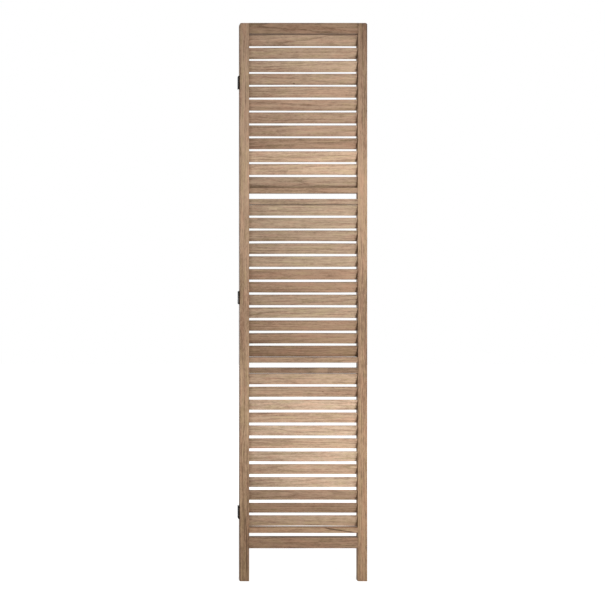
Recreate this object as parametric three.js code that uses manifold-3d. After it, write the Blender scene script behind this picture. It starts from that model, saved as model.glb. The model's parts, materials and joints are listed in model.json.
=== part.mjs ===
// Room divider panel with rotating slats: one tall leaf of a folding screen.
//
// Two long stiles run down past the bottom rail as legs. Seven rails tie them together and
// frame three bays, and each bay holds a ladder of thin slats. A slat turns on a round pin at
// each of its ends, held in blind holes bored in the stiles. Three small butt hinges sit on
// the outer edge of the left stile, ready for the next leaf of the screen.
//
// Millimetres, +Z up. The front faces -Y. The origin is on the floor, under the middle of the
// panel's width and thickness.

import * as THREE from 'three';
import { mergeVertices } from 'three/addons/utils/BufferGeometryUtils.js';
import Module from 'manifold-3d';

const wasm = await Module();
wasm.setup();

// ---------------------------------------------------------------- driving dimensions

// Panel outline
const PANEL_WIDTH = 400;
const PANEL_HEIGHT = 1750;
const PANEL_THICKNESS = 20;
const STILE_WIDTH = 30;
const TOP_CORNER_RADIUS = 6;
const FOOT_CORNER_RADIUS = 1.5;

// Rails, from the top down: top rail, bay, slim rail, slot, slim rail, bay, and so on
const TOP_RAIL_HEIGHT = 33;
const SLIM_RAIL_HEIGHT = 17;
const BOTTOM_RAIL_HEIGHT = 34;
const RAIL_THICKNESS = 20;

// Mortise and tenon joints between the rails and the stiles
const TENON_LENGTH = 14;
const TENON_THICKNESS = 8;
const TENON_SHOULDER = 3;

// Bays from the top down, each with its height, the space from its top to its first slat's
// axis, its slats' pitch, and the open slot under its lower rail
const BAYS = [
  { name: 'top', height: 483.5, firstAxis: 20.25, pitch: 40.5, slotBelow: 18 },
  { name: 'middle', height: 479.5, firstAxis: 18, pitch: 40.25, slotBelow: 16 },
  { name: 'bottom', height: 483.5, firstAxis: 18.5, pitch: 40.5, slotBelow: 14 },
];

// Slats
const SLATS_PER_BAY = 12;
const SLAT_WIDTH = 34;
const SLAT_THICKNESS = 5;
const SLAT_CHAMFER = 1;
const SLAT_SIDE_GAP = 0.5; // between a slat's end and the stile
const SLAT_TILT_DEG = 22; // top edge leans this far towards the front
const SLAT_PIN_RADIUS = 2;
const SLAT_PIN_REACH = 9; // how far a pin enters the stile
const SLAT_BORE_RADIUS = 2.3;
const SLAT_BORE_DEPTH = 10;

// Butt hinges on the left stile's outer edge
const HINGE_NAMES = ['top', 'middle', 'bottom'];
const HINGE_HEIGHTS = [1563, 889, 217];
const HINGE_LENGTH = 40;
const HINGE_KNUCKLES = 5; // the fixed leaf has the first, third and fifth
const KNUCKLE_GAP = 0.4;
const BARREL_RADIUS = 2.3;
const BARREL_OUT = 1; // how far the barrel's axis stands in front of the panel's face
const LEAF_THICKNESS = 1;
const LEAF_REACH = 16.5; // from the barrel's axis to the leaf's far edge
const HINGE_PIN_RADIUS = 1.15;
const HINGE_BORE_RADIUS = 1.4;
const HINGE_CAP_RADIUS = 2;
const HINGE_CAP_HEIGHT = 1;

// Countersunk wood screws, two in each fixed leaf
const SCREW_SPACING = 24;
const SCREW_INSET = 10; // from the barrel's axis
const SCREW_HEAD_RADIUS = 2.5;
const SCREW_HEAD_DEPTH = 1.2;
const SCREW_SHANK_RADIUS = 1.3;
const SCREW_LENGTH = 12;
const SCREW_POINT = 3;

const FIT = 0.3; // space left between pieces that touch
const ROUND = 12; // sides on a pin, screw or hole
const BARREL_SIDES = 16;
const ARC_STEPS = 4; // steps in a rounded corner

// ---------------------------------------------------------------- worked-out sizes

const HALF_WIDTH = PANEL_WIDTH / 2;
const STILE_INNER_X = HALF_WIDTH - STILE_WIDTH;
const STILE_CENTRE_X = HALF_WIDTH - STILE_WIDTH / 2;
const FRONT_Y = -PANEL_THICKNESS / 2;
const BARREL_X = -HALF_WIDTH - FIT - BARREL_RADIUS;
const BARREL_Y = FRONT_Y - BARREL_OUT;

// ---------------------------------------------------------------- finishes

const stileWood = new THREE.MeshStandardMaterial({ color: 0xa68a71, roughness: 0.7, metalness: 0 });
const railWood = new THREE.MeshStandardMaterial({ color: 0x9d8169, roughness: 0.7, metalness: 0 });
const slatWood = new THREE.MeshStandardMaterial({ color: 0xb0957c, roughness: 0.72, metalness: 0 });
const blackSteel = new THREE.MeshStandardMaterial({ color: 0x231a12, roughness: 0.45, metalness: 0.7 });
const screwSteel = new THREE.MeshStandardMaterial({ color: 0x2b221a, roughness: 0.4, metalness: 0.8 });

// ---------------------------------------------------------------- solids

// Turns a closed three.js geometry into a solid that can be cut and joined.
function solid(geometry) {
  const bare = geometry.index ? geometry.toNonIndexed() : geometry;
  bare.deleteAttribute('normal');
  bare.deleteAttribute('uv');
  const merged = mergeVertices(bare, 1e-4);
  const mesh = new wasm.Mesh({
    numProp: 3,
    vertProperties: merged.attributes.position.array,
    triVerts: new Uint32Array(merged.index.array),
  });
  return new wasm.Manifold(mesh);
}

// Turns a solid back into a three.js geometry.
function geometryOf(shape) {
  const { vertProperties, triVerts } = shape.getMesh();
  const geometry = new THREE.BufferGeometry();
  geometry.setAttribute('position', new THREE.BufferAttribute(vertProperties, 3));
  geometry.setIndex(new THREE.BufferAttribute(triVerts, 1));
  geometry.computeVertexNormals();
  return geometry;
}

// A box from its lowest to its highest corner.
function block(low, high) {
  const [width, depth, height] = high.map((value, i) => value - low[i]);
  const [x, y, z] = high.map((value, i) => (value + low[i]) / 2);
  return solid(new THREE.BoxGeometry(width, depth, height).translate(x, y, z));
}

// A cylinder along X.
function rodAlongX(radius, fromX, toX, y, z) {
  const rod = new THREE.CylinderGeometry(radius, radius, toX - fromX, ROUND);
  rod.rotateZ(Math.PI / 2).translate((fromX + toX) / 2, y, z);
  return solid(rod);
}

// An upright cylinder on the Z axis, for a hinge's barrel.
function barrelCylinder(radius, fromZ, toZ) {
  const cylinder = new THREE.CylinderGeometry(radius, radius, toZ - fromZ, BARREL_SIDES);
  return solid(cylinder.rotateX(Math.PI / 2).translate(0, 0, (fromZ + toZ) / 2));
}

// A turned shape whose axis points along +X from its head, at x = 0, to its point.
function turnedAlongX(profile) {
  const points = profile.map(([radius, along]) => new THREE.Vector2(radius, along));
  return new THREE.LatheGeometry(points, ROUND).rotateZ(-Math.PI / 2);
}

function joined(first, ...others) {
  return others.reduce((whole, shape) => whole.add(shape), first);
}

function cutBy(first, ...cutters) {
  return cutters.reduce((whole, shape) => whole.subtract(shape), first);
}

const panel = new THREE.Group();

// Adds one named piece to the panel.
function addPiece(name, shape, material, place = [0, 0, 0], tilt = 0) {
  const mesh = new THREE.Mesh(geometryOf(shape), material);
  mesh.name = name;
  mesh.position.set(...place);
  mesh.rotation.x = tilt;
  panel.add(mesh);
}

// ---------------------------------------------------------------- layout, from the top down

// Every rail with its lowest and highest z, and every bay with the heights of its slats' axes.
function layOut() {
  const rails = [];
  const bays = [];
  let top = PANEL_HEIGHT;
  const addRail = (name, height) => {
    rails.push({ name, low: top - height, high: top });
    top -= height;
  };
  addRail('rail_top', TOP_RAIL_HEIGHT);
  BAYS.forEach(({ name, height, firstAxis, pitch, slotBelow }, i) => {
    if (i > 0) addRail(`rail_above_${name}_bay`, SLIM_RAIL_HEIGHT);
    const first = top - firstAxis;
    bays.push({ name, axes: Array.from({ length: SLATS_PER_BAY }, (_, n) => first - n * pitch) });
    top -= height;
    addRail(`rail_below_${name}_bay`, SLIM_RAIL_HEIGHT);
    top -= slotBelow;
  });
  addRail('rail_bottom', BOTTOM_RAIL_HEIGHT);
  return { rails, bays };
}

const { rails, bays } = layOut();

// ---------------------------------------------------------------- rails

// The block that a rail's tenon fills, grown by a margin for its mortise. Side is -1 or 1.
function tenonBlock(rail, side, margin) {
  const inner = STILE_INNER_X - STILE_WIDTH / 2;
  const outer = STILE_INNER_X + TENON_LENGTH + margin;
  const [lowX, highX] = side < 0 ? [-outer, -inner] : [inner, outer];
  const halfThickness = TENON_THICKNESS / 2 + margin;
  const low = rail.low + TENON_SHOULDER - margin;
  const high = rail.high - TENON_SHOULDER + margin;
  return block([lowX, -halfThickness, low], [highX, halfThickness, high]);
}

function buildRail(rail) {
  const halfLength = STILE_INNER_X - FIT;
  const halfThickness = RAIL_THICKNESS / 2;
  const body = block([-halfLength, -halfThickness, rail.low], [halfLength, halfThickness, rail.high]);
  const shape = joined(body, tenonBlock(rail, -1, 0), tenonBlock(rail, 1, 0));
  addPiece(rail.name, shape, railWood);
}

// ---------------------------------------------------------------- hinge screws

// A countersunk screw's outline from its head to its point. The outline of its hole is grown
// by a margin all round, and starts that far above the head.
function screwProfile(margin) {
  const head = SCREW_HEAD_RADIUS + margin;
  const shank = SCREW_SHANK_RADIUS + margin;
  const start = margin > 0 ? [[0, -margin], [head, -margin]] : [[0, 0]];
  return [
    ...start,
    [head, 0],
    [shank, SCREW_HEAD_DEPTH],
    [shank, SCREW_LENGTH - SCREW_POINT + margin],
    [0, SCREW_LENGTH + margin],
  ];
}

// Where a hinge's screws start, on the gap side of its fixed leaf.
function screwPlaces(hingeZ) {
  const x = -HALF_WIDTH - FIT - LEAF_THICKNESS;
  const y = BARREL_Y + SCREW_INSET;
  return [
    { name: 'upper', place: [x, y, hingeZ + SCREW_SPACING / 2] },
    { name: 'lower', place: [x, y, hingeZ - SCREW_SPACING / 2] },
  ];
}

function screwHole([x, y, z]) {
  return solid(turnedAlongX(screwProfile(FIT)).translate(x, y, z));
}

// ---------------------------------------------------------------- stiles

// The stile's front outline, with its outer top corner and both foot corners rounded. It is
// drawn for the right stile and mirrored for the left one.
function stileOutline(side) {
  const outline = new THREE.Shape();
  const inner = side * STILE_INNER_X;
  const outer = side * HALF_WIDTH;
  const top = PANEL_HEIGHT;
  outline.moveTo(inner + side * FOOT_CORNER_RADIUS, 0);
  outline.lineTo(outer - side * FOOT_CORNER_RADIUS, 0);
  outline.quadraticCurveTo(outer, 0, outer, FOOT_CORNER_RADIUS);
  outline.lineTo(outer, top - TOP_CORNER_RADIUS);
  outline.quadraticCurveTo(outer, top, outer - side * TOP_CORNER_RADIUS, top);
  outline.lineTo(inner, top);
  outline.lineTo(inner, FOOT_CORNER_RADIUS);
  outline.quadraticCurveTo(inner, 0, inner + side * FOOT_CORNER_RADIUS, 0);
  return outline;
}

function stileBlank(side) {
  const blank = new THREE.ExtrudeGeometry(stileOutline(side), {
    depth: PANEL_THICKNESS,
    bevelEnabled: false,
    curveSegments: ARC_STEPS,
  });
  return solid(blank.rotateX(Math.PI / 2).translate(0, PANEL_THICKNESS / 2, 0));
}

function slatBores(side) {
  const mouth = side * (STILE_INNER_X - FIT);
  const floor = side * (STILE_INNER_X + SLAT_BORE_DEPTH);
  const ends = [Math.min(mouth, floor), Math.max(mouth, floor)];
  return bays.flatMap((bay) => bay.axes.map((z) => rodAlongX(SLAT_BORE_RADIUS, ...ends, 0, z)));
}

function buildStile(name, side, hingeHoles) {
  const mortises = rails.map((rail) => tenonBlock(rail, side, FIT));
  const shape = cutBy(stileBlank(side), ...mortises, ...slatBores(side), ...hingeHoles);
  addPiece(name, shape, stileWood);
}

// ---------------------------------------------------------------- slats

// A slat stands upright in its own frame: length along X, width along Z, pins on its ends.
function slatShape() {
  const halfWidth = SLAT_WIDTH / 2;
  const halfThickness = SLAT_THICKNESS / 2;
  const halfLength = STILE_INNER_X - SLAT_SIDE_GAP;
  const section = new THREE.Shape([
    new THREE.Vector2(halfThickness, halfWidth - SLAT_CHAMFER),
    new THREE.Vector2(halfThickness - SLAT_CHAMFER, halfWidth),
    new THREE.Vector2(SLAT_CHAMFER - halfThickness, halfWidth),
    new THREE.Vector2(-halfThickness, halfWidth - SLAT_CHAMFER),
    new THREE.Vector2(-halfThickness, SLAT_CHAMFER - halfWidth),
    new THREE.Vector2(SLAT_CHAMFER - halfThickness, -halfWidth),
    new THREE.Vector2(halfThickness - SLAT_CHAMFER, -halfWidth),
    new THREE.Vector2(halfThickness, SLAT_CHAMFER - halfWidth),
  ]);
  const board = new THREE.ExtrudeGeometry(section, { depth: 2 * halfLength, bevelEnabled: false });
  // The section was drawn in X and Y: turn it so that its height stands up and it runs along X.
  board.rotateX(Math.PI / 2).rotateZ(Math.PI / 2).translate(-halfLength, 0, 0);
  const reach = STILE_INNER_X + SLAT_PIN_REACH;
  return joined(
    solid(board),
    rodAlongX(SLAT_PIN_RADIUS, -reach, SLAT_CHAMFER - halfLength, 0, 0),
    rodAlongX(SLAT_PIN_RADIUS, halfLength - SLAT_CHAMFER, reach, 0, 0),
  );
}

function buildSlats() {
  const shape = slatShape();
  const tilt = THREE.MathUtils.degToRad(SLAT_TILT_DEG);
  for (const bay of bays) {
    bay.axes.forEach((z, i) => {
      const number = String(i + 1).padStart(2, '0');
      addPiece(`slat_${bay.name}_${number}`, shape, slatWood, [0, 0, z], tilt);
    });
  }
}

// ---------------------------------------------------------------- hinges

// The knuckles that belong to one leaf. First is 0 for the fixed leaf and 1 for the free one.
function knuckleSpans(first) {
  const pitch = HINGE_LENGTH / HINGE_KNUCKLES;
  const spans = [];
  for (let i = first; i < HINGE_KNUCKLES; i += 2) {
    const low = i * pitch - HINGE_LENGTH / 2;
    spans.push([low + KNUCKLE_GAP / 2, low + pitch - KNUCKLE_GAP / 2]);
  }
  return spans;
}

// One leaf about the barrel's axis: a plate along +Y, tangent to its knuckles on the given
// side of the barrel, with its screw holes. Side is 1 for the leaf on the stile.
function leafShape(side, first) {
  const outer = side * BARREL_RADIUS;
  const inner = side * (BARREL_RADIUS - LEAF_THICKNESS);
  const [lowX, highX] = [Math.min(outer, inner), Math.max(outer, inner)];
  const plateStart = BARREL_RADIUS + FIT;
  const half = HINGE_LENGTH / 2;
  let leaf = block([lowX, plateStart, -half], [highX, LEAF_REACH, half]);
  for (const [low, high] of knuckleSpans(first)) {
    leaf = joined(
      leaf,
      block([lowX, 0, low], [highX, plateStart + FIT, high]),
      barrelCylinder(BARREL_RADIUS, low, high),
    );
  }
  const bore = barrelCylinder(HINGE_BORE_RADIUS, -HINGE_LENGTH, HINGE_LENGTH);
  const holes = [-1, 1].map((way) => {
    const hole = turnedAlongX(screwProfile(FIT));
    if (side < 0) hole.rotateZ(Math.PI);
    return solid(hole.translate(inner, SCREW_INSET, (way * SCREW_SPACING) / 2));
  });
  return cutBy(leaf, bore, ...holes);
}

// The hinge pin, with a low rounded cap over each end of the barrel.
function hingePinShape() {
  const end = HINGE_LENGTH / 2;
  const capTop = end + HINGE_CAP_HEIGHT;
  const capEdge = end + HINGE_CAP_HEIGHT / 2;
  const capFlat = HINGE_CAP_RADIUS * 0.7;
  const upper = [
    [HINGE_PIN_RADIUS, end],
    [HINGE_CAP_RADIUS, end],
    [HINGE_CAP_RADIUS, capEdge],
    [capFlat, capTop],
    [0, capTop],
  ];
  const lower = upper.map(([radius, along]) => [radius, -along]).reverse();
  const points = [...lower, ...upper].map(([radius, along]) => new THREE.Vector2(radius, along));
  return solid(new THREE.LatheGeometry(points, ROUND).rotateX(Math.PI / 2));
}

function buildHinges() {
  const fixedLeaf = leafShape(1, 0);
  const freeLeaf = leafShape(-1, 1);
  const pin = hingePinShape();
  const screw = solid(turnedAlongX(screwProfile(0)));
  HINGE_NAMES.forEach((name, i) => {
    const place = [BARREL_X, BARREL_Y, HINGE_HEIGHTS[i]];
    addPiece(`hinge_${name}_fixed_leaf`, fixedLeaf, blackSteel, place);
    addPiece(`hinge_${name}_free_leaf`, freeLeaf, blackSteel, place);
    addPiece(`hinge_${name}_pin`, pin, blackSteel, place);
    for (const spot of screwPlaces(HINGE_HEIGHTS[i])) {
      addPiece(`hinge_${name}_screw_${spot.name}`, screw, screwSteel, spot.place);
    }
  });
}

// ---------------------------------------------------------------- the panel

const hingeHoles = HINGE_HEIGHTS.flatMap((z) => screwPlaces(z).map((spot) => screwHole(spot.place)));
buildStile('stile_left', -1, hingeHoles);
buildStile('stile_right', 1, []);
rails.forEach(buildRail);
buildSlats();
buildHinges();

export default panel;
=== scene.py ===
"""One leaf of a folding room divider with slats that turn, dressed for its portrait.

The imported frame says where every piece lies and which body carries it. This script makes the
fine surfaces on that frame: boards with eased arrises and cut joints, slats that are each a
little bent, rolled hinge leaves with their pins and screws, stained wood and blackened steel,
and a plain pale studio seen from where the photograph was taken.

Metres, +Z up, front towards -Y, as in the frame.
"""

from __future__ import annotations

import json
import logging
import math
import random
from collections.abc import Callable, Iterator
from contextlib import contextmanager
from dataclasses import dataclass, field
from enum import Enum
from functools import partial, reduce

import bmesh
import bpy
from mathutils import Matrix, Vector


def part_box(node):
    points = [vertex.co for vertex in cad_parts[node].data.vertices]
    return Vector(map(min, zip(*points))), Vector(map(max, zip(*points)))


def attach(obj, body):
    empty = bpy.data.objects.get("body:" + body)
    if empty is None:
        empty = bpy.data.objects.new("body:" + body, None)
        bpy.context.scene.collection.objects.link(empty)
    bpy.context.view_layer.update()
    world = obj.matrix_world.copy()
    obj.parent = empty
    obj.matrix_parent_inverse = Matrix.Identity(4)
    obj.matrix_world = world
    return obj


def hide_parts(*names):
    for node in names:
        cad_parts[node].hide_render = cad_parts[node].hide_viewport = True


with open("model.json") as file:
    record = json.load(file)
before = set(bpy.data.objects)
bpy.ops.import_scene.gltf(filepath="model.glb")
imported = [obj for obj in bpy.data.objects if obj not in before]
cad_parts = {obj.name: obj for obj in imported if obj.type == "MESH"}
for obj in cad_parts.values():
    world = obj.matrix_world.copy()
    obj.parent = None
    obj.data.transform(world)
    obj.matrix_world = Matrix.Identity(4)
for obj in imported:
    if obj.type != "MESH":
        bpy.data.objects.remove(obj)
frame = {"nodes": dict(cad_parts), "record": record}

log = logging.getLogger("divider")

MM = 0.001
SHARP_ANGLE = math.radians(32)
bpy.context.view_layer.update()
BODY_OF = {node: body for body, nodes in frame["record"]["behaviour"]["bodies"].items() for node in nodes}

Numbers = tuple[float, ...]
Shape = bpy.types.Object


# ---- modelling by hand


class Pick(Enum):
    """What a selection in edit mode is made of."""

    POINTS = "VERT"
    EDGES = "EDGE"
    FACES = "FACE"


def activate(shape: Shape) -> None:
    """Makes one object the only selected one, and the active one.

    Args:
        shape: the object to work on next.
    """
    bpy.ops.object.select_all(action="DESELECT")
    shape.select_set(True)
    bpy.context.view_layer.objects.active = shape


@contextmanager
def shaping(shape: Shape, pick: Pick, wanted: Callable[..., bool]) -> Iterator[None]:
    """Opens a mesh in edit mode with part of it selected, and leaves edit mode after the block.

    Args:
        shape: the object to edit.
        pick: what is selected.
        wanted: says which ones. It is given a point's place, an edge's two ends, or a face's
            centre and normal.
    """
    activate(shape)
    bpy.ops.object.mode_set(mode="EDIT")
    bpy.ops.mesh.select_mode(type=pick.value)
    bpy.ops.mesh.select_all(action="DESELECT")
    mesh = bmesh.from_edit_mesh(shape.data)
    if pick is Pick.POINTS:
        chosen = [point for point in mesh.verts if wanted(point.co)]
    elif pick is Pick.EDGES:
        chosen = [edge for edge in mesh.edges if wanted(edge.verts[0].co, edge.verts[1].co)]
    else:
        chosen = [face for face in mesh.faces if wanted(face.calc_center_median(), face.normal)]
    for element in chosen:
        element.select_set(True)
    mesh.select_flush_mode()
    bmesh.update_edit_mesh(shape.data)
    yield
    bpy.ops.object.mode_set(mode="OBJECT")


def near(value: float, target: float) -> bool:
    """Whether a coordinate is at its target, to a hundredth of a millimetre."""
    return abs(value - target) < 0.01 * MM


def along_axis(start: Vector, end: Vector, axis: int) -> bool:
    """Whether an edge runs along X, Y or Z, given as axis 0, 1 or 2."""
    span = end - start
    return abs(span[axis]) > 0.999 * span.length


def middle_of(node: str) -> Vector:
    """The middle of a node's box in the frame."""
    low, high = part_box(node)
    return (low + high) / 2


def settle(shape: Shape) -> None:
    """Moves an object's place, turn and scale into its mesh."""
    activate(shape)
    bpy.ops.object.transform_apply(location=True, rotation=True, scale=True)


def take(name: str) -> Shape:
    """Names and settles the object that an operator has just added.

    Args:
        name: its name.

    Returns:
        The object.
    """
    shape = bpy.context.object
    shape.name = shape.data.name = name
    settle(shape)
    return shape


def start_block(name: str, low: Vector, high: Vector) -> Shape:
    """Adds a box at its size and place.

    Args:
        name: the new object's name.
        low: its lowest corner.
        high: its highest corner.

    Returns:
        The box, with its place in its mesh.
    """
    bpy.ops.object.select_all(action="DESELECT")
    bpy.ops.mesh.primitive_cube_add(size=1.0, location=(low + high) / 2, scale=high - low)
    return take(name)


def start_rod(name: str, radius: float, start: Vector, end: Vector, sides: int = 32) -> Shape:
    """Adds a round rod between two points.

    Args:
        name: the new object's name.
        radius: the rod's radius.
        start: the middle of one end.
        end: the middle of the other end.
        sides: how many sides it is drawn with.

    Returns:
        The rod, with its place in its mesh.
    """
    span = end - start
    turn = span.to_track_quat("Z", "Y").to_euler()
    bpy.ops.object.select_all(action="DESELECT")
    bpy.ops.mesh.primitive_cylinder_add(
        vertices=sides, radius=radius, depth=span.length, location=(start + end) / 2, rotation=turn
    )
    return take(name)


def join_all(first: Shape, others: list[Shape]) -> Shape:
    """Puts several objects' meshes into the first one's.

    Args:
        first: the object that stays.
        others: the objects that go into it.

    Returns:
        The first object.
    """
    activate(first)
    for other in others:
        other.select_set(True)
    bpy.ops.object.join()
    return first


def modify(shape: Shape, kind: str, **settings: object) -> None:
    """Changes a mesh by a modifier, and applies it.

    Args:
        shape: the object that is changed.
        kind: the modifier's type.
        settings: its properties.
    """
    activate(shape)
    modifier = shape.modifiers.new("change", kind)
    for key, value in settings.items():
        setattr(modifier, key, value)
    bpy.ops.object.modifier_apply(modifier=modifier.name)


def combine(shape: Shape, tool: Shape, operation: str) -> None:
    """Cuts a tool out of a shape (DIFFERENCE) or joins it on (UNION), and removes the tool."""
    modify(shape, "BOOLEAN", operation=operation, solver="EXACT", object=tool)
    bpy.data.objects.remove(tool)


def round_edges(shape: Shape, wanted: Callable[..., bool], width: float, steps: int) -> None:
    """Rounds the chosen edges of a mesh.

    Args:
        shape: the object to edit.
        wanted: says which edges, from their two ends.
        width: how far from the edge the rounding starts.
        steps: how many strips it is made of; one makes a chamfer.
    """
    with shaping(shape, Pick.EDGES, wanted):
        bpy.ops.mesh.bevel(offset=width, segments=steps, affect="EDGES")


def draw_out(shift: Numbers = (0, 0, 0)) -> None:
    """Extrudes the selected faces and moves the new ones."""
    bpy.ops.mesh.extrude_region_move(TRANSFORM_OT_translate={"value": shift})


def scale_about(point: Numbers, factors: Numbers, **bend: object) -> None:
    """Scales what is selected about a point."""
    bpy.ops.transform.resize(value=factors, center_override=point, **bend)


def copy_of(shape: Shape, name: str) -> Shape:
    """Copies an object with its own mesh.

    Args:
        shape: the object.
        name: the copy's name.

    Returns:
        The copy.
    """
    activate(shape)
    bpy.ops.object.duplicate()
    copy = bpy.context.object
    copy.name = copy.data.name = name
    return copy


def hand_over(shape: Shape, node: str, material: bpy.types.Material) -> None:
    """Dresses a finished piece, and lets it stand for its node on the node's body.

    Args:
        shape: the finished piece, at the origin with its place in its mesh.
        node: the node that it stands for.
        material: its finish.
    """
    shape.data.materials.clear()
    shape.data.materials.append(material)
    activate(shape)
    bpy.ops.object.shade_smooth_by_angle(angle=SHARP_ANGLE)
    modify(shape, "WEIGHTED_NORMAL", keep_sharp=True)
    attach(shape, BODY_OF[node])
    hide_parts(node)
    log.info("%s: %d faces, on %s", shape.name, len(shape.data.polygons), BODY_OF[node])


# ---- laying out a material


class NodeDesk:
    """Short calls for the nodes of a material or of the world.

    A value given to any call may be a number, a tuple or another node's output.
    """

    def __init__(self, owner: bpy.types.Material | bpy.types.World, cleared: bool = False) -> None:
        """Opens the owner's nodes.

        Args:
            owner: the new material or world.
            cleared: whether the nodes that it starts with are taken away.
        """
        owner.use_nodes = True
        self.owner = owner
        self.tree = owner.node_tree
        if cleared:
            self.tree.nodes.clear()

    def fill(self, node: bpy.types.Node, feeds: dict[str | int, object]) -> None:
        """Links outputs to a node's inputs, or sets the inputs to plain values.

        Args:
            node: the node.
            feeds: its inputs by name or number.
        """
        for key, value in feeds.items():
            if isinstance(value, bpy.types.NodeSocket):
                self.tree.links.new(value, node.inputs[key])
            else:
                node.inputs[key].default_value = value

    def node(self, kind: str, feeds: dict[str | int, object], **settings: object) -> bpy.types.ShaderNode:
        """Adds a node.

        Args:
            kind: its type.
            feeds: its inputs by name or number.
            settings: its other properties.

        Returns:
            The node.
        """
        node = self.tree.nodes.new(kind)
        for key, value in settings.items():
            setattr(node, key, value)
        self.fill(node, feeds)
        return node

    def dress(self, feeds: dict[str | int, object]) -> bpy.types.Material:
        """Feeds the material's own shader, and returns the material."""
        self.fill(self.tree.nodes["Principled BSDF"], feeds)
        return self.owner

    def math(self, operation: str, first: object, second: object = 0.0, third: object = 0.0) -> object:
        """Works out a number from one, two or three others, and returns its socket."""
        feeds = {0: first, 1: second, 2: third}
        return self.node("ShaderNodeMath", feeds, operation=operation).outputs[0]

    def total(self, *values: object) -> object:
        """Adds up numbers, and returns the sum's socket."""
        return reduce(partial(self.math, "ADD"), values)

    def product(self, *values: object) -> object:
        """Multiplies numbers, and returns the product's socket."""
        return reduce(partial(self.math, "MULTIPLY"), values)

    def scaled(self, value: object, centre: float, depth: float) -> object:
        """Takes a centre from a value and multiplies the rest by a depth."""
        return self.product(self.math("SUBTRACT", value, centre), depth)

    def distance(self, first: object, second: object) -> object:
        """Works out how long two lengths at a right angle are together, and returns its socket."""
        return self.math("SQRT", self.total(self.product(first, first), self.product(second, second)))

    def off(self, value: object, centre: float) -> object:
        """Works out how far a value is from a centre, and returns its socket."""
        return self.math("ABSOLUTE", self.math("SUBTRACT", value, centre))

    def noise(self, place: object, spans: Numbers, draw: Numbers, detail: float = 2.0) -> object:
        """Reads a smooth random value.

        Args:
            place: where it is read, in millimetres.
            spans: how far apart its bumps are along each axis, in millimetres.
            draw: which part of the endless pattern this board gets.
            detail: how many finer layers it has.

        Returns:
            The socket of a value about 0.5, mostly from 0.25 to 0.75.
        """
        share = tuple(1 / span for span in spans)
        feeds = {0: place, 1: share, 2: draw}
        vector = self.node("ShaderNodeVectorMath", feeds, operation="MULTIPLY_ADD").outputs[0]
        feeds = {"Vector": vector, "Scale": 1.0, "Detail": detail, "Roughness": 0.6}
        return self.node("ShaderNodeTexNoise", feeds).outputs["Fac"]

    def ramp(self, value: object, stops: list[tuple[float, Numbers]]) -> object:
        """Turns a value from 0 to 1 into a colour.

        Args:
            value: the value.
            stops: at which values which linear colours lie.

        Returns:
            Its socket.
        """
        node = self.node("ShaderNodeValToRGB", {"Fac": value})
        elements = node.color_ramp.elements
        elements[0].position, elements[0].color = stops[0][0], (*stops[0][1], 1.0)
        elements[1].position, elements[1].color = stops[-1][0], (*stops[-1][1], 1.0)
        for position, colour in stops[1:-1]:
            elements.new(position).color = (*colour, 1.0)
        return node.outputs["Color"]

    def fade(self, value: object, start: float, end: float, low: float = 0.0, high: float = 1.0) -> object:
        """Maps a value smoothly from one range to another, held at its ends."""
        feeds = {"Value": value, "From Min": start, "From Max": end, "To Min": low, "To Max": high}
        return self.node("ShaderNodeMapRange", feeds, interpolation_type="SMOOTHSTEP").outputs["Result"]

    def tinted(self, colour: object, tint: Numbers, amount: object) -> object:
        """Multiplies a colour by a tint, by an amount from 0 to 1, and returns its socket."""
        feeds = {0: amount, 6: colour, 7: (*tint, 1.0)}
        return self.node("ShaderNodeMix", feeds, data_type="RGBA", blend_type="MULTIPLY").outputs[2]

    def relief(self, height: object, depth: float, strength: float) -> object:
        """Turns a height into a relief of this depth in metres, and returns its socket."""
        feeds = {"Height": height, "Distance": depth, "Strength": strength}
        return self.node("ShaderNodeBump", feeds).outputs["Normal"]


def linear(colour: Numbers) -> Numbers:
    """Turns a colour from screen values, 0 to 255, into linear light."""
    shares = [value / 255 for value in colour]
    return tuple(s / 12.92 if s <= 0.04045 else ((s + 0.055) / 1.055) ** 2.4 for s in shares)


# ---- stained wood


class Tone(Enum):
    """The shades that the stain took on the boards, as screen colours, palest first."""

    OAT = (198, 172, 147)
    HONEY = (189, 161, 135)
    SAND = (180, 153, 128)
    FAWN = (173, 146, 121)
    ASH = (168, 145, 121)
    HAZEL = (166, 138, 114)
    DRAB = (161, 137, 114)
    TAN = (161, 131, 103)
    BARK = (154, 126, 102)
    UMBER = (142, 114, 90)
    PEAT = (131, 106, 84)


class Layer(Enum):
    """The noises in the wood. Each has its number, how far apart its bumps are in millimetres
    along, behind and across the board, how many finer layers it has, and its depth."""

    WANDER = (1, (190, 60, 60), 1.0, 26.0)
    RIPPLE = (2, (46, 15, 15), 2.0, 5.0)
    FIBRE = (3, (38, 0.9, 0.9), 3.0, 0.34)
    STREAK = (4, (150, 5, 5), 2.0, 0.50)
    MOTTLE = (5, (24, 9, 9), 3.0, 0.36)
    CLOUD = (6, (110, 30, 30), 1.0, 6.0)
    PORE = (7, (7, 0.45, 0.45), 1.0, -0.26)
    BLUSH = (8, (75, 11, 11), 2.0, 1.0)
    FLECK = (9, (10, 2.2, 2.2), 2.0, 0.40)

    def __init__(self, number: int, spans: Numbers, detail: float, depth: float) -> None:
        """Names the parts of a layer.

        Args:
            number: what sets its draws apart.
            spans: how far apart its bumps are.
            detail: how many finer layers it has.
            depth: how much it changes.
        """
        self.number = number
        self.spans = spans
        self.detail = detail
        self.depth = depth


class Cut(Enum):
    """How a board was sawn, as its place in the log: across and behind its face, in millimetres.

    STRAIGHT shows long even lines, SLANTED wider ones that drift, and ARCHED the nested
    arches of a flat-sawn board.
    """

    STRAIGHT = (95.0, 12.0)
    SLANTED = (42.0, 50.0)
    ARCHED = (6.0, 24.0)


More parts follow.
